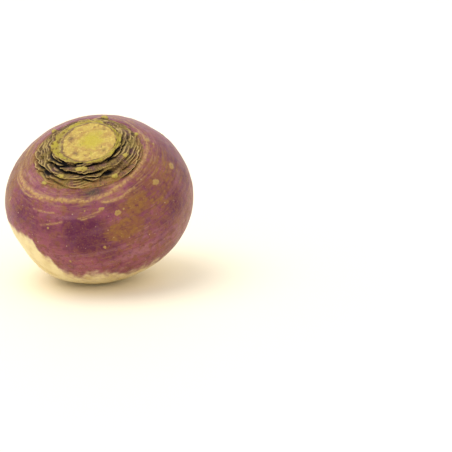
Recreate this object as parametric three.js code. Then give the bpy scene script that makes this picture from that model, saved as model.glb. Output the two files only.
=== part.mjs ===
// A rutabaga, trimmed top and tail, resting on a small flat spot with its crown leaning forward.
// It grew as one piece, so it is one solid. Millimetres, +Z up, and the crown leans towards -Y.
// The origin is on the surface it rests on, under the middle of its bounding box.

import * as THREE from "three";

// Driving dimensions of the bulb, in its own frame: +Z runs from taproot to crown, with the origin
// at the middle of its widest girth.
const girthRadius = 60;
const capHeight = 46.5; // from the girth up to where the shoulder would close
const bodyDepth = 46.7; // from the girth down to the underside
const tail = { radius: 8.5, depth: 54.5, rimBevel: 1 }; // the taproot, trimmed to a stub
const aroundSteps = 80;
const curveSteps = 10;

// The neck is cut straight across, and old leaf bases are stacked around it as worn ledges.
const neck = { radius: 17, height: 45.8, barkRadius: 22.6, barkHeight: 44.4 };
const ledges = { count: 6, outerRadius: 34.5, outerHeight: 37.8, lip: 0.75, undercut: 0.65 };

// Slow swellings around the girth: how many lobes, how strong, and where the first one faces.
const lobes = [
  { count: 2, share: 0.024, facing: 57 },
  { count: 3, share: 0.016, facing: -10 },
];
// Hollows pressed into the side and underside: where they face, how deep, how high and how wide.
const hollows = [
  { share: 0.105, facing: 214, turn: 40, height: -12, spread: 22 },
  { share: 0.04, facing: 75, turn: 20, height: -46, spread: 16 },
  { share: 0.04, facing: 255, turn: 20, height: -46, spread: 16 },
];

// How it rests: the crown leans forward and a little to the left.
const lean = THREE.MathUtils.degToRad(28.5);
const heading = THREE.MathUtils.degToRad(-10.5);
const restDepth = 50.4; // from the girth to the surface, which flattens the underside a little

// Angle from a to b in degrees, from -180 to 180.
function turnBetween(a, b) {
  return THREE.MathUtils.euclideanModulo(b - a + 180, 360) - 180;
}

// The outline from the tail's centre to the neck's centre, as radius and height.
function bulbOutline() {
  const outline = new THREE.Path();
  outline.moveTo(0, -tail.depth);
  outline.lineTo(tail.radius - tail.rimBevel, -tail.depth);
  outline.lineTo(tail.radius, -tail.depth + tail.rimBevel);
  outline.bezierCurveTo(
    tail.radius, -tail.depth + 5,
    girthRadius * 0.34, -bodyDepth * 1.04,
    girthRadius * 0.5, -bodyDepth * 0.91,
  );
  outline.bezierCurveTo(
    girthRadius * 0.79, -bodyDepth * 0.7,
    girthRadius, -bodyDepth * 0.45,
    girthRadius, 0,
  );
  const shoulderAngle = Math.acos(ledges.outerRadius / girthRadius);
  outline.absellipse(0, 0, girthRadius, capHeight, 0, shoulderAngle);
  addLedges(outline);
  outline.lineTo(neck.barkRadius, neck.barkHeight);
  outline.lineTo(neck.radius, neck.height);
  outline.lineTo(0, neck.height);
  return outline.getPoints(curveSteps);
}

// Each ledge rises from the one outside it as a crevice, a lip that hangs over it, and a sloping top.
function addLedges(outline) {
  const radiusStep = (ledges.outerRadius - neck.barkRadius) / ledges.count;
  const heightStep = (neck.barkHeight - ledges.outerHeight) / ledges.count;
  for (let i = 0; i < ledges.count; i += 1) {
    const radius = ledges.outerRadius - i * radiusStep;
    const height = ledges.outerHeight + i * heightStep;
    outline.lineTo(radius - ledges.undercut, height + heightStep * 0.1);
    outline.lineTo(radius + ledges.lip * 0.6, height + heightStep * 0.45);
    outline.lineTo(radius + ledges.lip * 0.2, height + heightStep * 0.8);
  }
}

// How far the skin stands out from a true round, as a factor on the radius.
function swelling(around, height) {
  const polar = Math.sqrt(Math.max(0, 1 - (height / tail.depth) ** 2));
  let factor = 1;
  for (const lobe of lobes) {
    factor += lobe.share * polar * Math.cos(lobe.count * (around - THREE.MathUtils.degToRad(lobe.facing)));
  }
  for (const hollow of hollows) {
    const side = turnBetween(hollow.facing, THREE.MathUtils.radToDeg(around)) / hollow.turn;
    const rise = (height - hollow.height) / hollow.spread;
    factor -= hollow.share * Math.exp(-side * side - rise * rise);
  }
  return factor;
}

// The ledges wander a little in and out, each in its own way.
function ledgeWander(around, radius, height) {
  const onLedges = height > 0 && radius > neck.barkRadius * 0.97 && radius < ledges.outerRadius + 2;
  if (!onLedges) return 0;
  const level = Math.round((ledges.outerRadius - radius) / 2.4);
  return 0.35 * Math.sin(3 * around + 1.9 * level) + 0.2 * Math.sin(7 * around + 2.7 * level);
}

function shapeBulb(geometry) {
  const down = new THREE.Vector3(0, -Math.sin(lean), -Math.cos(lean));
  const place = geometry.attributes.position;
  const point = new THREE.Vector3();
  for (let i = 0; i < place.count; i += 1) {
    point.fromBufferAttribute(place, i);
    const around = Math.atan2(point.y, point.x);
    const radius = Math.hypot(point.x, point.y);
    if (radius > 0) {
      const grown = radius * swelling(around, point.z) + ledgeWander(around, radius, point.z);
      point.x *= grown / radius;
      point.y *= grown / radius;
    }
    const past = point.dot(down) - restDepth;
    if (past > 0) point.addScaledVector(down, -past); // the flat spot it rests on
    place.setXYZ(i, point.x, point.y, point.z);
  }
  geometry.computeVertexNormals();
  return geometry;
}

function makeBulb() {
  const geometry = new THREE.LatheGeometry(bulbOutline(), aroundSteps);
  geometry.rotateX(Math.PI / 2);
  const skin = new THREE.MeshStandardMaterial({ color: 0x8f5a63, roughness: 0.55, metalness: 0 });
  const bulb = new THREE.Mesh(shapeBulb(geometry), skin);
  bulb.name = "rutabaga_root";
  bulb.rotation.set(lean, 0, heading, "ZXY");
  bulb.position.z = restDepth;
  return bulb;
}

const rutabaga = new THREE.Group();
const bulb = makeBulb();
rutabaga.add(bulb);

// Centre it over the origin.
const box = new THREE.Box3().setFromObject(rutabaga, true);
const middle = box.getCenter(new THREE.Vector3());
bulb.position.x -= middle.x;
bulb.position.y -= middle.y;

export default rutabaga;
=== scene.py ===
# A rutabaga resting on a small flat spot, with its crown leaning forward, on a plain pale floor.
import bpy
import bmesh
import math
import random
import numpy as np
from mathutils import Matrix, Vector, noise


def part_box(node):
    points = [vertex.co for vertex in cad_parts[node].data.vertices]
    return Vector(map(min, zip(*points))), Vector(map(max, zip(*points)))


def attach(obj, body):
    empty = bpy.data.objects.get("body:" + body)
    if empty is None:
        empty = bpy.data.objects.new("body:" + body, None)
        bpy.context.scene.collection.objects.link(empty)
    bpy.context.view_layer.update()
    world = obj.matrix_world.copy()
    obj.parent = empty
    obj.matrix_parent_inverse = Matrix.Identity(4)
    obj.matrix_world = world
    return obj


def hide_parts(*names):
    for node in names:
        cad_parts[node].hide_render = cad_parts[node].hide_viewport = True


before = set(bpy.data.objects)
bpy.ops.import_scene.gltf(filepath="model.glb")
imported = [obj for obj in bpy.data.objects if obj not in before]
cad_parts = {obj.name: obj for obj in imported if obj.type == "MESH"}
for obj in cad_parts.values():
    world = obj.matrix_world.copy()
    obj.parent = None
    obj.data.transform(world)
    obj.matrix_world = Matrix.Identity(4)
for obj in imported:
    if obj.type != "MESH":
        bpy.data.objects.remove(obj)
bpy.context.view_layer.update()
nodeLow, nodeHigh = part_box("rutabaga_root")

# The root is shaped in millimetres in its own frame, +Z from tail to crown, with the origin at the
# middle of its widest girth. "width" is how wide it is as it rests, which gives the scale.
bulb = {
    "width": 117.42,
    "girthRadius": 60,
    "capHeight": 46.5,
    "bodyDepth": 46.7,
    "neckRadius": 17,
    "neckHeight": 45.8,
    "barkRadius": 22.6,
    "barkHeight": 44.4,
    "scarRadius": 34.5,
    "tailRadius": 8.5,
    "tailDepth": 54.5,
    "lean": math.radians(28.5),
    "heading": math.radians(-10.5),
    "restDepth": 50.4,
    "lobes": [(2, 0.024, 57), (3, 0.016, -10)],  # count, share of the radius, facing
    "hollows": [(0.105, 214, 40, -12, 22), (0.04, 75, 20, -46, 16), (0.04, 255, 20, -46, 16)],
    "columns": 440,
    "boxOffset": (1.583, 0.986),  # from the middle of the girth to the middle of the box
    "swells": [(0.4, 21, 3.1), (0.22, 7, 9.4)],  # slow bumps: strength, size, shift of the noise
}
mm = (nodeHigh.x - nodeLow.x) / bulb["width"]


def smooth(low, high, value):
    t = np.clip((value - low) / (high - low), 0, 1)
    return t * t * (3 - 2 * t)


def turned(facing, around):
    return (np.degrees(around) - facing + 180) % 360 - 180  # degrees past a facing, -180 to 180


def dome(distance):
    return np.exp(-distance * distance)


def curvePoints(a, b, c, d, steps):
    t = np.linspace(0, 1, steps + 1)[1:, None]
    a, b, c, d = (np.array(p, float) for p in (a, b, c, d))
    return (1 - t) ** 3 * a + 3 * t * (1 - t) ** 2 * b + 3 * t * t * (1 - t) * c + t ** 3 * d


def bulbOutline():
    # from the middle of the cut neck, over the shoulder and round to the middle of the tail
    radius, cap, depth = bulb["girthRadius"], bulb["capHeight"], bulb["bodyDepth"]
    shoulder = math.acos(bulb["scarRadius"] / radius)
    t = np.linspace(shoulder, 0, 86)
    arc = np.stack([radius * np.cos(t), cap * np.sin(t)], 1)
    scarTop = arc[0]

    def straight(a, b, steps):
        t = np.linspace(0, 1, steps + 1)[1:, None]
        return np.array(a, float) * (1 - t) + np.array(b, float) * t

    neck = (bulb["neckRadius"], bulb["neckHeight"])
    bark = (bulb["barkRadius"], bulb["barkHeight"])
    tail = (bulb["tailRadius"], -bulb["tailDepth"] + 1)
    under = (radius * 0.5, -depth * 0.91)
    return np.vstack([
        [(0, bulb["neckHeight"])],
        straight((0, bulb["neckHeight"]), neck, 18),
        straight(neck, bark, 15),
        straight(bark, scarTop, 44),
        arc[1:],
        curvePoints((radius, 0), (radius, -depth * 0.45), (radius * 0.79, -depth * 0.7), under, 34),
        curvePoints(under, (radius * 0.34, -depth * 1.04), (tail[0], tail[1] + 4), tail, 22),
        straight(tail, (tail[0] - 1, -bulb["tailDepth"]), 1),
        straight((tail[0] - 1, -bulb["tailDepth"]), (0, -bulb["tailDepth"]), 7),
    ])


def swelling(around, height):
    polar = np.sqrt(np.clip(1 - (height / bulb["tailDepth"]) ** 2, 0, 1))
    factor = np.ones_like(around)
    for count, share, facing in bulb["lobes"]:
        factor += share * polar * np.cos(count * (around - math.radians(facing)))
    for share, facing, turn, level, spread in bulb["hollows"]:
        factor -= share * dome(turned(facing, around) / turn) * dome((height - level) / spread)
    return factor


def spunBulb(outline):
    bm = bmesh.new()
    verts = [bm.verts.new((r, 0, z)) for r, z in outline]
    edges = [bm.edges.new(pair) for pair in zip(verts, verts[1:])]
    bmesh.ops.spin(bm, geom=verts + edges, cent=(0, 0, 0), axis=(0, 0, 1), dvec=(0, 0, 0),
                   angle=math.tau, steps=bulb["columns"], use_merge=True)
    bmesh.ops.remove_doubles(bm, verts=bm.verts, dist=1e-4)
    bmesh.ops.recalc_face_normals(bm, faces=bm.faces)
    return bm


# The crown: bark round the cut, then leaf scars stacked outwards, each a worn crescent. Places on
# the skin are a facing in degrees and how far along the outline they are in mm.
crown = {
    "scars": 10,
    "firstFacing": 262,
    "goldenTurn": 137.5,
    "barkEdge": [(0, 21.6), (90, 19.4), (150, 20.4), (200, 20.6), (235, 20.2), (270, 18.9), (320, 20.8)],
    "scarEdge": [(8, 36.0), (30, 33.0), (83, 29.6), (130, 30.4), (187, 36.2), (225, 35.0), (252, 36.3),
                 (283, 36.9), (305, 38.4), (328, 38.2), (354, 37.2)],
    "halfWidth": (85, 125),
    "bend": 2.2,  # how far the ends of a crescent tuck in
    "lipHeight": 0.9,
    "gapDepth": 2.8,
    "deepestGap": 3.6,
    "overhang": 0.6,
    "layerPitch": 1.7,  # thin layers between the lips
    "pits": [  # facing, along, half turn, half length, depth
        (190, 30.5, 2.6, 1.1, 2.4),
        (204, 29.0, 3.4, 1.3, 2.8),
        (229, 31.3, 9.0, 1.7, 2.6),
        (311, 30.7, 8.0, 1.6, 2.8),
        (244, 21.4, 8.0, 1.0, 1.6),
    ],
    "buds": [  # facing, along, half width, half length, height
        (278, 23.4, 3.8, 1.6, 1.5),
        (252, 29.0, 2.2, 1.3, 1.6),
        (314.5, 33.8, 2.2, 1.6, 1.8),
        (343.5, 27.0, 1.9, 1.5, 1.7),
        (237, 36.4, 1.9, 1.1, 1.3),
        (83, 30.2, 2.8, 1.2, 1.6),
        (150, 29.5, 2.1, 1.3, 1.5),
        (30, 32.5, 1.6, 1.1, 1.2),
    ],
    "cutSpots": [(170, 12.4, 2.1, 1.7), (238, 11.6, 2.0, 1.3), (330, 12.5, 1.6, 1.0), (60, 13.5, 1.5, 0.9)],
    "darkUnderScar": (289, 39.6, 6.5, 2.6),  # a dark patch just below the front of the scar
    "pithMiddle": (1.5, 2.0),
}
# Corky lines left by the oldest leaves: width, height, then facing and along at each bend
arcs = [
    (1.25, 0.25, [(188, 46.5), (224, 45.1), (254, 43.7), (280, 43.8), (298, 42.7), (312, 40.8),
                  (330, 39.0), (350, 37.6), (10, 36.6)]),
    (0.8, 0.2, [(292, 46.6), (302, 47.7), (313, 47.3), (326, 45.6)]),
    (0.5, 0.12, [(200, 48.5), (225, 47.6), (248, 46.2)]),
    (0.6, 0.15, [(345, 39.5), (20, 37.6), (60, 35.2), (85, 34.6)]),
    (0.7, 0.2, [(100, 37.0), (130, 38.5), (170, 42.0), (190, 43.4)]),
    (0.5, 0.15, [(50, 40.5), (90, 41.0), (140, 44.5)]),
]
# Corky warts: facing, along, half width, half length, height
warts = [
    (4, 55.9, 2.5, 1.9, 0.45),
    (341.5, 52.1, 2.6, 2.0, 0.5),
    (23, 38.9, 1.9, 1.5, 0.35),
    (303, 55.6, 2.3, 1.8, 0.45),
    (292.5, 50.5, 2.1, 0.9, 0.35),
    (254.5, 61.0, 0.8, 0.8, 0.3),
    (268, 81.7, 0.5, 1.5, 0.25),
    (214, 59.6, 0.6, 2.1, 0.3),
    (289.5, 73.9, 0.9, 1.2, 0.3),
    (280, 50.0, 0.6, 0.6, 0.25),
    (308, 54.7, 0.7, 0.7, 0.3),
    (19.5, 42.5, 0.9, 0.8, 0.25),
    (261.5, 44.4, 0.9, 0.7, 0.25),
    (120, 66, 2.2, 1.8, 0.4),
    (165, 58, 1.8, 1.5, 0.4),
    (70, 74, 2.0, 1.6, 0.4),
    (45, 60, 1.5, 1.9, 0.35),
    (98, 52, 1.7, 1.3, 0.35),
]
# Scratches: facing and along at each end
scratchWidth = 0.42
scratchRadius = 56  # how far out the skin is where they are
scratches = [
    (275, 54.4, 290, 51.3),
    (277, 55.2, 286, 53.6),
    (249, 60.3, 262, 56.4),
    (240, 52.8, 254, 51.6),
    (150, 70, 163, 67),
    (60, 62, 70, 66),
]
# Brown weathered skin: facing, along, half width, half length, strength
brownHeart = (303, 67, 13, 7.0, 1.1)  # the strongest, with a crisper edge
brownPatches = [
    (317, 54.5, 11, 6.5, 0.85),
    (330, 62, 15, 8, 0.35),
    (352, 54, 22, 12, 0.25),
    (268, 36, 30, 5, 0.5),
    (205, 58, 12, 12, 0.45),
    (90, 70, 18, 12, 0.75),
    (170, 62, 12, 9, 0.6),
    (225, 57, 10, 4, 0.35),
    (176, 45, 22, 9, 0.65),
]
brownSides = [(355, 50, 0.5), (193, 22, 0.6), (100, 40, 0.15)]  # facing, turn, strength
# Deep purple skin, in the same way as brown
deepPatches = [
    (280, 65, 18, 12, 1.0),
    (251, 61, 13, 8, 0.55),
    (300, 51, 10, 5, 0.7),
    (321, 46, 8, 5, 0.5),
    (345, 66, 26, 14, 0.6),
    (20, 50, 26, 12, 0.6),
    (150, 66, 18, 12, 0.6),
    (40, 76, 18, 10, 0.6),
    (95, 60, 16, 10, 0.5),
]
# Where the purple ends and the cream begins: facing and height
creamTops = [(20, -27), (60, -25), (100, -20), (150, -13), (188, -4), (205, 5), (222, 11), (237, 13.5),
             (244, 12.5), (249, 4), (255, 1.5), (259, -6.5), (268, -12), (283, -12.5), (296, -14.5),
             (305, -17.5), (330, -24)]


def closedCurve(around, bends):
    facings, values = zip(*bends)
    return np.interp(np.degrees(around) % 360, facings, values, period=360)


def raggedLine(around, seed, strengths):
    # a closed wavy line round the neck, in mm: (lowest wave, highest wave, strength)
    draw = random.Random(seed)
    line = np.zeros_like(around)
    for low, high, strength in strengths:
        share = strength / math.sqrt((high - low + 1) / 2)
        for wave in range(low, high + 1):
            line += share * np.cos(wave * around + draw.uniform(0, math.tau))
    return line


def leafScars(around, along):
    # height and masks of the neck's ledges; the crevice mask says where painted shade darkens the gaps
    height = np.zeros_like(along)
    lipMask = np.zeros_like(along)
    creviceShadeMask = np.zeros_like(along)
    draw = random.Random(41)
    barkEdge = closedCurve(around, crown["barkEdge"])
    scarEdge = closedCurve(around, crown["scarEdge"])
    towardsFront = 0.5 - 0.5 * np.cos(around - math.radians(95))
    rings = [(0, 0.0, 400, 0)]  # the edge of the bark goes all the way round
    for k in range(crown["scars"]):
        rings.append((crown["firstFacing"] + k * crown["goldenTurn"], (k + 0.8) / (crown["scars"] - 0.2),
                      draw.uniform(*crown["halfWidth"]), crown["bend"]))
    for k, (facing, out, halfWidth, bend) in enumerate(rings):
        share = np.abs(turned(facing, around)) / halfWidth
        whole = 1 - smooth(0.7, 1.0, share)
        strength = whole * (0.55 + 0.45 * towardsFront)
        worn = 0.6 + 0.4 * np.clip(raggedLine(around, 300 + k, ((1, 5, 0.9), (7, 16, 0.6))), -1, 1)
        deep = 1.0 - 0.45 * out + 0.45 * raggedLine(around, 500 + k, ((1, 4, 0.8), (6, 14, 0.5)))
        deep = np.clip(deep, 0.15, 1.5)
        wide = (0.45 + 0.35 * towardsFront) * (1.15 - 0.55 * out)
        wide = wide + 0.18 * np.clip(raggedLine(around, 700 + k, ((1, 6, 1.0),)), -1, 1)
        jagged = raggedLine(around, 100 + k, ((2, 6, 0.45), (8, 18, 0.28), (24, 50, 0.1)))
        past = along - (barkEdge + (scarEdge - barkEdge) * out - bend * share ** 2 + jagged)
        height += strength * worn * crown["lipHeight"] * dome((past + 0.3) / 0.4)
        height += strength * 0.6 * dome((past + 1.3) / 0.9)
        # each crevice is cut into the height and also kept as a mask for painted shade
        shadedCrevice = strength * deep * dome((past - 0.3 - wide) / wide)
        height -= crown["gapDepth"] * shadedCrevice
        lipMask = np.maximum(lipMask, whole * worn * dome((past + 0.12) / 0.34))
        creviceShadeMask = np.maximum(creviceShadeMask, shadedCrevice)
    # thin worn layers between the lips
    shift = raggedLine(around, 77, ((1, 5, 1.1), (7, 20, 0.25)))
    layers = np.sin((along + shift) * math.tau / crown["layerPitch"]) * np.clip(0.8 + 0.5 * raggedLine(
        around, 78, ((2, 9, 1.0),)), 0, 1.2)
    edge = raggedLine(around, 109, ((2, 6, 0.4), (8, 18, 0.28), (24, 50, 0.1)))
    onNeck = 1 - smooth(-1.6, 1.4, along - scarEdge + edge)
    height += onNeck * (0.32 * layers - 1.0 * (1 - towardsFront) * smooth(0, 3, along - barkEdge))
    height = np.maximum(height, -crown["deepestGap"])
    edge = raggedLine(around, 100, ((2, 6, 0.45), (8, 18, 0.28), (24, 50, 0.1)))
    barkMask = 1 - smooth(-0.3, 0.3, along - barkEdge - edge)
    return height, lipMask, creviceShadeMask, onNeck, barkMask, layers * onNeck


def spot(around, along, radius, facing, at, halfWidth, halfLength):
    # how far a point is from the middle of a patch on the skin: 0 there and 1 at the edge of the patch
    across = np.radians(turned(facing, around)) * radius
    return np.hypot(across / halfWidth, (along - at) / halfLength)


def scratchMask(around, along, radius, ends):
    # a thin line between two places on the skin
    startFacing, startAlong, endFacing, endAlong = ends
    x = np.radians(turned(startFacing, around)) * radius
    y = along - startAlong
    reach = np.array([math.radians(endFacing - startFacing) * scratchRadius, endAlong - startAlong])
    share = np.clip((x * reach[0] + y * reach[1]) / (reach @ reach), 0, 1)
    return dome(np.hypot(x - share * reach[0], y - share * reach[1]) / scratchWidth)


def noiseAt(points, size, shift=0.0):
    return np.array([noise.noise(Vector(p) / size + Vector((shift, 0, 0))) for p in points])


def shapeRoot(mesh, outline):
    count = len(mesh.vertices)
    place = np.empty(count * 3)
    mesh.vertices.foreach_get("co", place)
    place = place.reshape(-1, 3)
    around = np.arctan2(place[:, 1], place[:, 0])
    flat = np.hypot(place[:, 0], place[:, 1])
    height = place[:, 2]

    steps = np.hypot(*np.diff(outline, axis=0).T)
    lengths = np.concatenate([[0], np.cumsum(steps)])
    polarOutline = np.arctan2(outline[:, 0], outline[:, 1])
    along = np.interp(np.arctan2(flat, height), polarOutline, lengths)
    slope = np.gradient(outline, lengths, axis=0)
    outR = np.interp(along, lengths, slope[:, 0])
    outZ = np.interp(along, lengths, slope[:, 1])
    size = np.hypot(outR, outZ)
    outR, outZ = outR / size, outZ / size
    # the way out of the skin is a quarter turn from the way along it
    faceR, faceZ = -outZ, outR
    faceR = np.maximum(faceR, 0)
    faceZ = np.where(along < 1e-6, 1, faceZ)

    scarHeight, lipMask, creviceShadeMask, onNeck, barkMask, layers = leafScars(around, along)
    crownPart = smooth(17.2, 18.4, along) * (1 - smooth(39.5, 42.0, along))
    relief = scarHeight * crownPart

    pitMask = np.zeros(count)
    for facing, at, halfTurn, halfLength, depth in crown["pits"]:
        halfWidth = math.radians(halfTurn) * at * 0.95
        here = dome(spot(around, along, flat, facing, at, halfWidth, halfLength))
        relief -= depth * here
        pitMask = np.maximum(pitMask, here)
    budMask = np.zeros(count)
    for facing, at, halfWidth, halfLength, tall in crown["buds"]:
        off = spot(around, along, flat, facing, at, halfWidth, halfLength)
        off = off + 0.12 * np.sin(3 * np.arctan2(along - at, turned(facing, around)) + facing)
        here = dome(off ** 2)
        relief = relief * (1 - here) + tall * here
        budMask = np.maximum(budMask, here)
    # painted shade: crevices and pits are darkened in the colour, buds are not
    creviceShadeMask = np.clip(np.maximum(creviceShadeMask * crownPart, pitMask) * (1 - budMask), 0, 1)
    lipMask = lipMask * crownPart * (1 - pitMask) * (1 - budMask)

    skinRelief = np.zeros(count)
    corkMask = np.zeros(count)
    for k, (width, tall, bends) in enumerate(arcs):
        start, end = bends[0][0], bends[-1][0] + (360 if bends[-1][0] < bends[0][0] else 0)
        half = (end - start) / 2
        fade = 1 - smooth(half * 0.8, half, np.abs(turned(start + half, around)))
        wander = raggedLine(around, 40 + k, ((4, 12, 0.25), (16, 40, 0.2)))
        line = fade * dome((along - closedCurve(around, bends) - wander) / width)
        skinRelief += tall * line
        corkMask = np.maximum(corkMask, line)
    for ends in scratches:
        corkMask = np.maximum(corkMask, 0.8 * scratchMask(around, along, flat, ends))
    wartMask = np.zeros(count)
    for facing, at, halfWidth, halfLength, tall in warts:
        off = spot(around, along, flat, facing, at, halfWidth, halfLength)
        here = dome(off ** 2)
        skinRelief += 0.7 * tall * here
        wartMask = np.maximum(wartMask, here)

    points = place.copy()
    onBody = smooth(36.0, 42.0, along) * (1 - smooth(150, 156, along))
    skinRelief += onBody * sum(tall * noiseAt(points, size, shift) for tall, size, shift in bulb["swells"])
    bands = points * np.array([0.6, 0.6, 3.2])
    nearCrown = smooth(36.0, 40.0, along) * (1 - smooth(52.0, 66.0, along))
    skinRelief += 0.16 * nearCrown * noiseAt(bands, 7, 5.5)
    cutPart = 1 - smooth(16.4, 17.4, along)
    skinRelief += 0.10 * cutPart * noiseAt(points * np.array([0.5, 1.6, 1]), 2.2, 1.0)
    onTail = smooth(148, 153, along)
    skinRelief += 0.2 * onTail * noiseAt(points, 3.0, 2.0)

    radial = flat * swelling(around, height)
    push = relief + skinRelief
    radial = radial + push * faceR + crown["overhang"] * relief * outR
    height = height + push * faceZ + crown["overhang"] * relief * outZ
    # the neck was cut a little forward, and off the middle of the bark
    shaped = np.stack([radial * np.cos(around), radial * np.sin(around), height], 1)
    onCut = 1 - smooth(15.5, 20.5, along)
    shaped[:, 0] += 2.0 * onCut
    shaped[:, 2] += onCut * (0.09 * shaped[:, 1] - 0.5 * dome(along / 9))

    # the flat it rests on
    down = np.array([0, -math.sin(bulb["lean"]), -math.cos(bulb["lean"])])
    past = np.maximum(shaped @ down - bulb["restDepth"], 0)
    shaped -= past[:, None] * down

    turn = Matrix.Rotation(bulb["heading"], 3, "Z") @ Matrix.Rotation(bulb["lean"], 3, "X")
    shaped = shaped @ np.array(turn).T * mm
    low, high = shaped.min(0), shaped.max(0)
    shaped[:, 0] += (nodeLow.x + nodeHigh.x - low[0] - high[0]) / 2
    shaped[:, 1] += (nodeLow.y + nodeHigh.y - low[1] - high[1]) / 2
    shaped[:, 2] += nodeLow.z - low[2]
    mesh.vertices.foreach_set("co", shaped.ravel())

    # how far above the cream each point is, in mm where its edge is crisp and less below the front
    creamTop = closedCurve(around, creamTops) + 0.45 * raggedLine(around, 900, ((4, 14, 1.0),))
    crisp = 1 / (1 + 2.4 * smooth(22, 45, np.abs(turned(225, around))))
    facing, at, halfWidth, halfLength, share = brownHeart
    brown = share * (1 - smooth(0.3, 1.5, spot(around, along, flat, facing, at, halfWidth, halfLength)))
    for facing, at, halfWidth, halfLength, share in brownPatches:
        here = 1 - smooth(0.2, 1.6, spot(around, along, flat, facing, at, halfWidth, halfLength))
        brown = np.maximum(brown, share * here)
    for facing, turn, share in brownSides:
        brown += share * dome(turned(facing, around) / turn)
    deepest = np.zeros(count)
    for facing, at, halfWidth, halfLength, share in deepPatches:
        here = dome(spot(around, along, flat, facing, at, halfWidth, halfLength))
        deepest = np.maximum(deepest, share * here)
    darkUnderScar = dome(spot(around, along, flat, *crown["darkUnderScar"]))
    cutMark = np.zeros(count)
    for facing, at, halfWidth, halfLength in crown["cutSpots"]:
        cutMark = np.maximum(cutMark, dome(spot(around, along, flat, facing, at, halfWidth, halfLength)))
    pithX, pithY = crown["pithMiddle"]
    masks = {
        "along": along,
        "lip": lipMask,
        "shadedCrevice": creviceShadeMask,
        "bud": budMask,
        "neck": onNeck * crownPart,
        "bark": barkMask,
        "layers": layers,
        "brown": brown,
        "deepest": deepest,
        "darkUnderScar": darkUnderScar,
        "cutMark": cutMark,
        "fromPith": np.hypot(place[:, 0] - pithX, place[:, 1] - pithY),
        "cork": np.clip(corkMask, 0, 1),
        "wart": np.clip(wartMask, 0, 1),
        "purple": (place[:, 2] - creamTop) * crisp,
    }
    for name, values in masks.items():
        mesh.attributes.new(name, "FLOAT", "POINT").data.foreach_set("value", values.astype(np.float32))
    grain = np.stack([np.cos(around) * 30, np.sin(around) * 30, along * 0.35], 1)
    mesh.attributes.new("grain", "FLOAT_VECTOR", "POINT").data.foreach_set("vector", grain.ravel())
    sweep = np.stack([np.cos(around) * 5, np.sin(around) * 5, along * 0.9], 1)
    mesh.attributes.new("sweep", "FLOAT_VECTOR", "POINT").data.foreach_set("vector", sweep.ravel())
    mesh.attributes.new("own", "FLOAT_VECTOR", "POINT").data.foreach_set("vector", place.ravel())
    return around, along


# The map: crown and tail as discs (middle, radius), the body between them as a strip
bakeMap = {
    "crownEnd": 48,
    "tailStart": 118,
    "margin": 0.004,
    "stripWidth": 0.99,
    "stripHeight": 0.392,
    "crownDisc": (0.3, 0.7, 0.292),
    "tailDisc": (0.8, 0.6, 0.192),
}


def layOutMap(mesh, around, along):
    crownEnd, tailStart, margin = bakeMap["crownEnd"], bakeMap["tailStart"], bakeMap["margin"]
    corners = np.empty(len(mesh.loops), int)
    mesh.loops.foreach_get("vertex_index", corners)
    starts = np.empty(len(mesh.polygons), int)
    mesh.polygons.foreach_get("loop_start", starts)
    sizes = np.diff(np.append(starts, len(corners)))
    face = np.repeat(np.arange(len(starts)), sizes)
    a, s = around[corners], along[corners]
    middle = (np.add.reduceat(s, starts) / sizes)[face]
    first = a[starts][face]
    a = first + (a - first + math.pi) % math.tau - math.pi
    start = np.minimum.reduceat(a, starts)[face]
    a = np.where(start < -math.pi - 1e-6, a + math.tau, a)
    uv = np.stack([margin + bakeMap["stripWidth"] * (a + math.pi) / (math.tau * 1.004),
                   margin + bakeMap["stripHeight"] * (s - crownEnd) / (tailStart - crownEnd)], 1)
    back = (along.max() - s) / (along.max() - tailStart)
    for inside, out, disc in ((middle < crownEnd, s / crownEnd, bakeMap["crownDisc"]),
                              (middle > tailStart, back, bakeMap["tailDisc"])):
        x, y, radius = disc
        placed = np.stack([x + radius * out * np.cos(a), y + radius * out * np.sin(a)], 1)
        uv[inside] = placed[inside]
    mesh.uv_layers.new(name="OFBake").data.foreach_set("uv", uv.astype(np.float32).ravel())


def makeRoot():
    outline = bulbOutline()
    bm = spunBulb(outline)
    mesh = bpy.data.meshes.new("rutabagaSkin")
    bm.to_mesh(mesh)
    bm.free()
    around, along = shapeRoot(mesh, outline)
    layOutMap(mesh, around, along)
    mesh.shade_smooth()
    piece = bpy.data.objects.new("rutabaga_skin", mesh)
    bpy.context.collection.objects.link(piece)
    return piece


def paint(text):
    # a colour written as six hex digits, as linear values
    parts = [int(text[i:i + 2], 16) / 255 for i in (0, 2, 4)]
    return tuple(p / 12.92 if p <= 0.04045 else ((p + 0.055) / 1.055) ** 2.4 for p in parts) + (1,)


def addNode(tree, kind, inputs=None, **settings):
    made = tree.nodes.new("ShaderNode" + kind)
    for name, value in settings.items():
        setattr(made, name, value)
    for name, value in (inputs or {}).items():
        feed(tree, made.inputs[name], value)
    return made


def feed(tree, socket, value):
    if isinstance(value, bpy.types.NodeSocket):
        tree.links.new(value, socket)
    else:
        socket.default_value = value


def blendIn(tree, below, above, mask):
    made = tree.nodes.new("ShaderNodeMix")
    made.data_type = "RGBA"
    feed(tree, made.inputs[0], mask)
    feed(tree, made.inputs[6], below)
    feed(tree, made.inputs[7], above)
    return made.outputs[2]


def calc(tree, operation, *values):
    made = tree.nodes.new("ShaderNodeMath")
    made.operation = operation
    for socket, value in zip(made.inputs, values):
        feed(tree, socket, value)
    return made.outputs[0]


def ramp(tree, value, low, high, toLow=0.0, toHigh=1.0):
    made = addNode(tree, "MapRange", interpolation_type="SMOOTHSTEP")
    for name, number in zip(("Value", "From Min", "From Max", "To Min", "To Max"),
                            (value, low, high, toLow, toHigh)):
        feed(tree, made.inputs[name], number)
    return made.outputs[0]


def readMask(tree, name):
    return addNode(tree, "Attribute", attribute_name=name).outputs["Fac"]


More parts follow.
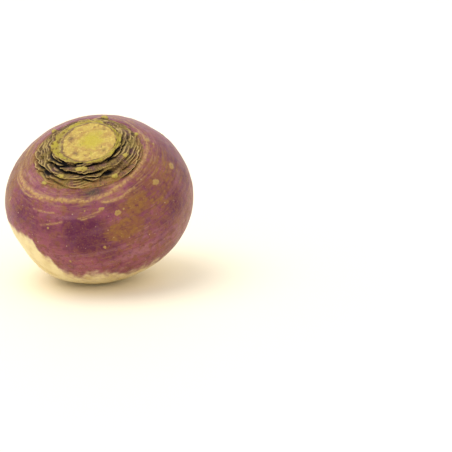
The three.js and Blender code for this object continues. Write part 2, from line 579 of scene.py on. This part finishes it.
def newGroup(name, inputs, outputs):
    group = bpy.data.node_groups.new(name, "ShaderNodeTree")
    for label, kind, value in inputs:
        socket = group.interface.new_socket(label, in_out="INPUT", socket_type="NodeSocket" + kind)
        if kind != "Vector":
            socket.default_value = value
    for label, kind in outputs:
        group.interface.new_socket(label, in_out="OUTPUT", socket_type="NodeSocket" + kind)
    return group, group.nodes.new("NodeGroupInput").outputs, group.nodes.new("NodeGroupOutput").inputs


def placeGroup(tree, group, **values):
    made = tree.nodes.new("ShaderNodeGroup")
    made.node_tree = group
    for name, value in values.items():
        feed(tree, made.inputs[name], value)
    return made.outputs


def cloudGroup():
    # soft or hard edged clouds
    group, given, out = newGroup("clouds", [
        ("Vector", "Vector", None), ("Scale", "Float", 1.0), ("Detail", "Float", 3.0),
        ("Low", "Float", 0.45), ("High", "Float", 0.6)], [("Mask", "Float")])
    cloud = addNode(group, "TexNoise", {"Vector": given["Vector"], "Scale": given["Scale"],
                                        "Detail": given["Detail"]})
    mask = ramp(group, cloud.outputs["Fac"], given["Low"], given["High"])
    group.links.new(mask, out["Mask"])
    return group


def speckGroup():
    # small round flecks, in only some of the cells
    group, given, out = newGroup("flecks", [
        ("Vector", "Vector", None), ("Scale", "Float", 1.0), ("Size", "Float", 0.2),
        ("Share", "Float", 0.4)], [("Mask", "Float")])
    cell = addNode(group, "TexVoronoi", {"Vector": given["Vector"], "Scale": given["Scale"]})
    inside = calc(group, "SUBTRACT", 1.0,
                  ramp(group, cell.outputs["Distance"], calc(group, "MULTIPLY", given["Size"], 0.55),
                       given["Size"]))
    split = addNode(group, "SeparateColor", {"Color": cell.outputs["Color"]})
    chosen = calc(group, "LESS_THAN", split.outputs["Red"], given["Share"])
    mask = calc(group, "MULTIPLY", calc(group, "MULTIPLY", inside, chosen), split.outputs["Green"])
    group.links.new(mask, out["Mask"])
    return group


def netGroup():
    # a broken net of fine corky cracks
    group, given, out = newGroup("corkyNet", [
        ("Vector", "Vector", None), ("Scale", "Float", 1.0), ("Width", "Float", 0.08)],
        [("Mask", "Float")])
    finer = calc(group, "MULTIPLY", given["Scale"], 1.7)
    warp = addNode(group, "TexNoise", {"Vector": given["Vector"], "Scale": finer, "Detail": 4.0})
    moved = addNode(group, "VectorMath", operation="MULTIPLY_ADD")
    feed(group, moved.inputs[0], warp.outputs["Color"])
    moved.inputs[1].default_value = (1.6, 1.6, 1.6)
    feed(group, moved.inputs[2], addNode(group, "VectorMath", {"Scale": given["Scale"],
         0: given["Vector"]}, operation="SCALE").outputs[0])
    cell = addNode(group, "TexVoronoi", {"Vector": moved.outputs[0], "Scale": 1.0},
                   feature="DISTANCE_TO_EDGE")
    line = calc(group, "SUBTRACT", 1.0, ramp(group, cell.outputs["Distance"], 0.0, given["Width"]))
    group.links.new(line, out["Mask"])
    return group


skinPaint = {
    "mauve": "8e4a5a",
    "deepPurple": "560a38",
    "violet": "6a3854",
    "pinkMauve": "a06c72",
    "russet": "7e4a2e",
    "gold": "8c6026",
    "tan": "bc9658",
    "corkGold": "a68448",
    "cream": "e6d6a4",
    "creamShade": "d0ba7c",
    "pale": "c8a488",
    "cutFlesh": "bca040",
    "cutTan": "aa8438",
    "cutPale": "d0b858",
    "pith": "b4a40c",
    "cutBrown": "5e3c18",
    "bark": "9a8638",
    "barkGreen": "aa9a30",
    "scar": "50381e",
    "scarPale": "8c7040",
    "outerScar": "96683a",
    "lip": "ccb070",
    # near-black painted shade for the crevices, pits and the hollows between layers
    "shadedCrevice": "150c10",
    "bud": "b09c48",
    "darkUnderScar": "3a332c",
}


def rootSkinMaterial():
    material = bpy.data.materials.new("rutabagaSkin")
    material.use_nodes = True
    tree = material.node_tree
    shader = tree.nodes["Principled BSDF"]
    clouds, flecks, net = cloudGroup(), speckGroup(), netGroup()
    tone = {name: paint(text) for name, text in skinPaint.items()}
    own = addNode(tree, "Attribute", attribute_name="own").outputs["Vector"]
    grain = addNode(tree, "Attribute", attribute_name="grain").outputs["Vector"]
    sweep = addNode(tree, "Attribute", attribute_name="sweep").outputs["Vector"]
    along = readMask(tree, "along")

    def cloudy(space, scale, low, high, strength=1.0, detail=5.0):
        mask = placeGroup(tree, clouds, Vector=space, Scale=scale, Detail=detail, Low=low, High=high)[0]
        return calc(tree, "MULTIPLY", mask, strength)

    def plainNoise(space, scale, detail):
        return addNode(tree, "TexNoise", {"Vector": space, "Scale": scale, "Detail": detail}).outputs["Fac"]

    # purple skin with pink and deep patches
    deepest = readMask(tree, "deepest")
    deepLevel = calc(tree, "MULTIPLY_ADD", deepest, 0.36, plainNoise(own, 0.045, 4.0))
    skin = blendIn(tree, tone["mauve"], tone["deepPurple"], ramp(tree, deepLevel, 0.46, 0.84))
    skin = blendIn(tree, skin, tone["pinkMauve"], calc(
        tree, "MULTIPLY", cloudy(sweep, 0.22, 0.5, 0.7), ramp(tree, deepest, 0.0, 1.0, 0.6, 0.15)))
    skin = blendIn(tree, skin, tone["violet"], cloudy(own, 0.11, 0.52, 0.7, 0.5))

    # russet mottling, thicker where the skin is brown
    brown = readMask(tree, "brown")
    mottle = calc(tree, "MULTIPLY_ADD", brown, 0.16, plainNoise(own, 0.28, 9.0))
    plainer = ramp(tree, deepest, 0.0, 1.0, 0.75, 0.15)
    mottled = calc(tree, "MULTIPLY", ramp(tree, mottle, 0.48, 0.66), plainer)
    skin = blendIn(tree, skin, tone["russet"], mottled)
    fingers = calc(tree, "MULTIPLY_ADD", plainNoise(sweep, 0.9, 6.0), 1.8, brown)
    patch = ramp(tree, fingers, 1.42, 1.8)
    skin = blendIn(tree, skin, tone["russet"], calc(tree, "MULTIPLY", patch, 0.75))
    patchGold = calc(tree, "MULTIPLY", patch, cloudy(own, 0.3, 0.4, 0.6, 0.8, 8.0))
    skin = blendIn(tree, skin, tone["gold"], patchGold)
    netLine = placeGroup(tree, net, Vector=own, Scale=0.42, Width=0.12)[0]
    goldNet = calc(tree, "MULTIPLY", netLine, calc(tree, "MULTIPLY", cloudy(own, 0.1, 0.45, 0.7), calc(
        tree, "ADD", brown, 0.35)))
    skin = blendIn(tree, skin, tone["gold"], calc(tree, "MULTIPLY", goldNet, 0.6))

    # fine streaks round the root
    skin = blendIn(tree, skin, tone["deepPurple"], cloudy(sweep, 1.1, 0.54, 0.72, 0.45))
    tanStreaks = calc(tree, "MULTIPLY", cloudy(sweep, 1.3, 0.56, 0.8, 0.5), plainer)
    skin = blendIn(tree, skin, tone["tan"], tanStreaks)
    skin = blendIn(tree, skin, tone["russet"], cloudy(own, 1.1, 0.5, 0.68, 0.5))
    skin = blendIn(tree, skin, tone["deepPurple"], cloudy(own, 0.4, 0.5, 0.7, 0.45))
    nearCrown = calc(tree, "MULTIPLY", ramp(tree, along, 33.0, 36.0),
                     ramp(tree, along, 42.0, 56.0, 1.0, 0.0))
    crownStreaks = calc(tree, "MULTIPLY", nearCrown, cloudy(sweep, 1.1, 0.47, 0.66, 0.36))
    skin = blendIn(tree, skin, tone["tan"], crownStreaks)

    # cream underside with a soft mottled edge
    edge = calc(tree, "ADD", ramp(tree, plainNoise(own, 0.22, 7.0), 0.3, 0.7, -0.6, 0.6), ramp(
        tree, plainNoise(grain, 0.4, 5.0), 0.3, 0.7, -0.6, 0.6))
    level = calc(tree, "ADD", readMask(tree, "purple"), edge)
    isPurple = ramp(tree, level, -1.5, 1.5)
    creamTone = blendIn(tree, tone["cream"], tone["creamShade"], cloudy(own, 0.12, 0.4, 0.75))
    creamTone = blendIn(tree, creamTone, tone["tan"], cloudy(sweep, 0.9, 0.55, 0.75, 0.35))
    blush = calc(tree, "MULTIPLY", ramp(tree, level, -5.0, 0.0), cloudy(own, 0.3, 0.4, 0.7, 0.45))
    creamTone = blendIn(tree, creamTone, tone["pinkMauve"], blush)
    skin = blendIn(tree, creamTone, skin, isPurple)

    # pale flecks, corky lines and warts
    smallFlecks = placeGroup(tree, flecks, Vector=own, Scale=0.28, Size=0.14, Share=0.45)[0]
    skin = blendIn(tree, skin, tone["pale"], calc(tree, "MULTIPLY", smallFlecks, 0.65))
    tinyFlecks = placeGroup(tree, flecks, Vector=own, Scale=0.75, Size=0.22, Share=0.3)[0]
    skin = blendIn(tree, skin, tone["tan"], calc(tree, "MULTIPLY", tinyFlecks, 0.55))
    broken = plainNoise(own, 0.7, 5.0)
    cork = calc(tree, "MULTIPLY", readMask(tree, "cork"), ramp(tree, broken, 0.36, 0.6, 0.3, 1.0))
    skin = blendIn(tree, skin, tone["tan"], calc(tree, "MULTIPLY", cork, 0.95))
    wart = readMask(tree, "wart")
    wartShape = ramp(tree, calc(tree, "MULTIPLY_ADD", broken, 1.6, wart), 1.1, 1.4)
    skin = blendIn(tree, skin, tone["corkGold"], calc(tree, "MULTIPLY", calc(
        tree, "MULTIPLY", wartShape, ramp(tree, wart, 0.1, 0.4)), 0.9))
    wartMiddle = calc(tree, "MULTIPLY", ramp(tree, wart, 0.985, 0.999), cloudy(own, 0.5, 0.4, 0.55, 0.4))
    skin = blendIn(tree, skin, tone["cutBrown"], wartMiddle)

    # leaf scars
    fibre = plainNoise(grain, 2.2, 4.0)
    # a dark patch just below the front of the scar
    skin = blendIn(tree, skin, tone["darkUnderScar"], calc(tree, "MULTIPLY", readMask(tree, "darkUnderScar"), ramp(
        tree, fibre, 0.35, 0.6, 0.6, 1.0)))
    scarTone = blendIn(tree, tone["scar"], tone["scarPale"], ramp(tree, fibre, 0.42, 0.66))
    layers = readMask(tree, "layers")
    scarTone = blendIn(tree, scarTone, tone["lip"], ramp(tree, layers, 0.2, 0.9, 0.0, 0.6))
    # painted shade in the hollows between the thin layers
    scarTone = blendIn(tree, scarTone, tone["shadedCrevice"], ramp(tree, layers, -0.9, -0.2, 0.6, 0.0))
    scarTone = blendIn(tree, scarTone, tone["bark"], cloudy(own, 0.12, 0.45, 0.6, 0.35, 3.0))
    scarTone = blendIn(tree, scarTone, tone["violet"], cloudy(own, 0.2, 0.55, 0.65, 0.4))
    outer = ramp(tree, along, 29.0, 36.0)
    scarTone = blendIn(tree, scarTone, tone["outerScar"], calc(tree, "MULTIPLY", outer, cloudy(
        grain, 0.9, 0.35, 0.6, 0.8)))
    neckEdge = calc(tree, "MULTIPLY_ADD", plainNoise(own, 0.45, 5.0), 0.8, readMask(tree, "neck"))
    skin = blendIn(tree, skin, scarTone, ramp(tree, neckEdge, 0.75, 1.15))

    # bark round the cut, and the cut itself
    barkTone = blendIn(tree, tone["bark"], tone["barkGreen"], cloudy(own, 0.2, 0.4, 0.6, 1.0, 3.0))
    barkTone = blendIn(tree, barkTone, tone["cutPale"], ramp(tree, fibre, 0.5, 0.7, 0.0, 0.5))
    barkTone = blendIn(tree, barkTone, tone["cutBrown"], cloudy(sweep, 1.3, 0.5, 0.62, 0.75))
    skin = blendIn(tree, skin, barkTone, readMask(tree, "bark"))
    flesh = blendIn(tree, tone["cutFlesh"], tone["cutTan"], cloudy(own, 0.22, 0.45, 0.58, 0.9))
    flesh = blendIn(tree, flesh, tone["cutPale"], cloudy(own, 0.5, 0.5, 0.66, 0.7))
    flesh = blendIn(tree, flesh, tone["barkGreen"], cloudy(own, 0.17, 0.56, 0.66, 0.6))
    flesh = blendIn(tree, flesh, tone["cutTan"], cloudy(own, 0.6, 0.52, 0.62, 0.6))
    flesh = blendIn(tree, flesh, tone["cutBrown"], cloudy(own, 0.75, 0.6, 0.7, 0.65))
    wobble = plainNoise(own, 0.3, 3.0)
    fromPith = calc(tree, "ADD", readMask(tree, "fromPith"), ramp(tree, wobble, 0.3, 0.7, -1.2, 1.2))
    isPith = ramp(tree, fromPith, 3.0, 9.5, 0.75, 0.0)
    flesh = blendIn(tree, flesh, tone["pith"], isPith)
    flesh = blendIn(tree, flesh, tone["cutBrown"], calc(tree, "MULTIPLY", readMask(tree, "cutMark"), ramp(
        tree, broken, 0.38, 0.55, 0.55, 1.0)))
    reach = calc(tree, "ADD", along, ramp(tree, wobble, 0.3, 0.7, -0.5, 0.5))
    ringLine = calc(tree, "MULTIPLY", ramp(tree, reach, 15.6, 16.4),
                    ramp(tree, reach, 16.8, 17.8, 1.0, 0.0))
    skin = blendIn(tree, skin, flesh, ramp(tree, reach, 16.9, 17.6, 1.0, 0.0))
    skin = blendIn(tree, skin, tone["cutBrown"], calc(tree, "MULTIPLY", ringLine, cloudy(
        own, 0.25, 0.32, 0.52, 0.85)))

    # lips, painted shade in the crevices and pits, and buds
    skin = blendIn(tree, skin, tone["lip"], ramp(tree, readMask(tree, "lip"), 0.15, 0.75, 0.0, 0.9))
    # painted shade down the crevices and pits
    skin = blendIn(tree, skin, tone["shadedCrevice"], ramp(tree, readMask(tree, "shadedCrevice"), 0.18, 0.75))
    budTone = blendIn(tree, tone["bud"], tone["scar"], cloudy(own, 0.6, 0.5, 0.7, 0.6))
    skin = blendIn(tree, skin, budTone, ramp(tree, readMask(tree, "bud"), 0.3, 0.7))
    tree.links.new(skin, shader.inputs["Base Color"])

    dry = calc(tree, "ADD", readMask(tree, "neck"), calc(tree, "MULTIPLY", goldNet, 0.5))
    tree.links.new(ramp(tree, dry, 0.0, 1.0, 0.36, 0.75), shader.inputs["Roughness"])
    shader.inputs["Specular IOR Level"].default_value = 0.3

    relief = calc(tree, "MULTIPLY_ADD", netLine, 0.35, plainNoise(own, 1.4, 6.0))
    relief = calc(tree, "MULTIPLY_ADD", smallFlecks, 0.6, relief)
    relief = calc(tree, "MULTIPLY_ADD", plainNoise(sweep, 1.5, 4.0), 0.6, relief)
    relief = calc(tree, "MULTIPLY_ADD", calc(tree, "MULTIPLY", fibre, readMask(tree, "neck")), 2.5, relief)
    bump = addNode(tree, "Bump", {"Strength": 0.5, "Distance": 0.0003, "Height": relief})
    tree.links.new(bump.outputs[0], shader.inputs["Normal"])
    return material


stage = {
    "floorPaint": "fff4dc",
    "floorSize": 9.0,
    "floorRoughness": 0.6,
    "skyStrength": 1.0,
    "sunStrength": 1.45,
    "sunSpread": math.radians(50),
    "sunFrom": (-0.45, 0.0, 1),
    "lens": 100,
    "distance": 0.7935,
    "elevation": math.radians(15),
    "aimRight": 0.08096,
    "aimDown": 0.01782,
}


def makeFloor():
    bm = bmesh.new()
    bmesh.ops.create_grid(bm, x_segments=1, y_segments=1, size=stage["floorSize"])
    mesh = bpy.data.meshes.new("floor")
    bm.to_mesh(mesh)
    bm.free()
    floor = bpy.data.objects.new("floor", mesh)
    bpy.context.collection.objects.link(floor)
    material = bpy.data.materials.new("paleFloor")
    material.use_nodes = True
    shader = material.node_tree.nodes["Principled BSDF"]
    shader.inputs["Base Color"].default_value = paint(stage["floorPaint"])
    shader.inputs["Roughness"].default_value = stage["floorRoughness"]
    shader.inputs["Specular IOR Level"].default_value = 0.2
    mesh.materials.append(material)


def makeLights():
    world = bpy.data.worlds.new("studio")
    world.use_nodes = True
    world.node_tree.nodes["Background"].inputs["Color"].default_value = (1, 1, 1, 1)
    world.node_tree.nodes["Background"].inputs["Strength"].default_value = stage["skyStrength"]
    bpy.context.scene.world = world
    light = bpy.data.lights.new("softLight", "SUN")
    light.energy = stage["sunStrength"]
    light.angle = stage["sunSpread"]
    lamp = bpy.data.objects.new("softLight", light)
    lamp.rotation_euler = Vector(stage["sunFrom"]).to_track_quat("Z", "Y").to_euler()
    bpy.context.collection.objects.link(lamp)


def makeCamera(middle):
    data = bpy.data.cameras.new("camera")
    data.lens = stage["lens"]
    data.sensor_width = 36
    data.clip_start = 0.01
    camera = bpy.data.objects.new("camera", data)
    bpy.context.collection.objects.link(camera)
    tilt = stage["elevation"]
    forward = Vector((0, math.cos(tilt), -math.sin(tilt)))
    above = Vector((0, math.sin(tilt), math.cos(tilt)))
    aim = middle + Vector((1, 0, 0)) * stage["aimRight"] - above * stage["aimDown"]
    camera.location = aim - forward * stage["distance"]
    camera.rotation_euler = forward.to_track_quat("-Z", "Y").to_euler()
    bpy.context.scene.camera = camera


# the middle of the girth, from the frame
offsetX, offsetY = bulb["boxOffset"]
girthMiddle = Vector(((nodeLow.x + nodeHigh.x) / 2 - offsetX * mm,
                      (nodeLow.y + nodeHigh.y) / 2 - offsetY * mm,
                      nodeLow.z + bulb["restDepth"] * mm))
makeCamera(girthMiddle)
print("camera placed")
rootSkin = makeRoot()
rootSkin.data.materials.append(rootSkinMaterial())
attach(rootSkin, "root")
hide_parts("rutabaga_root")
print("root made:", len(rootSkin.data.polygons), "faces")
makeFloor()
makeLights()
bpy.context.scene.view_settings.view_transform = "Standard"
print("floor and lights made")
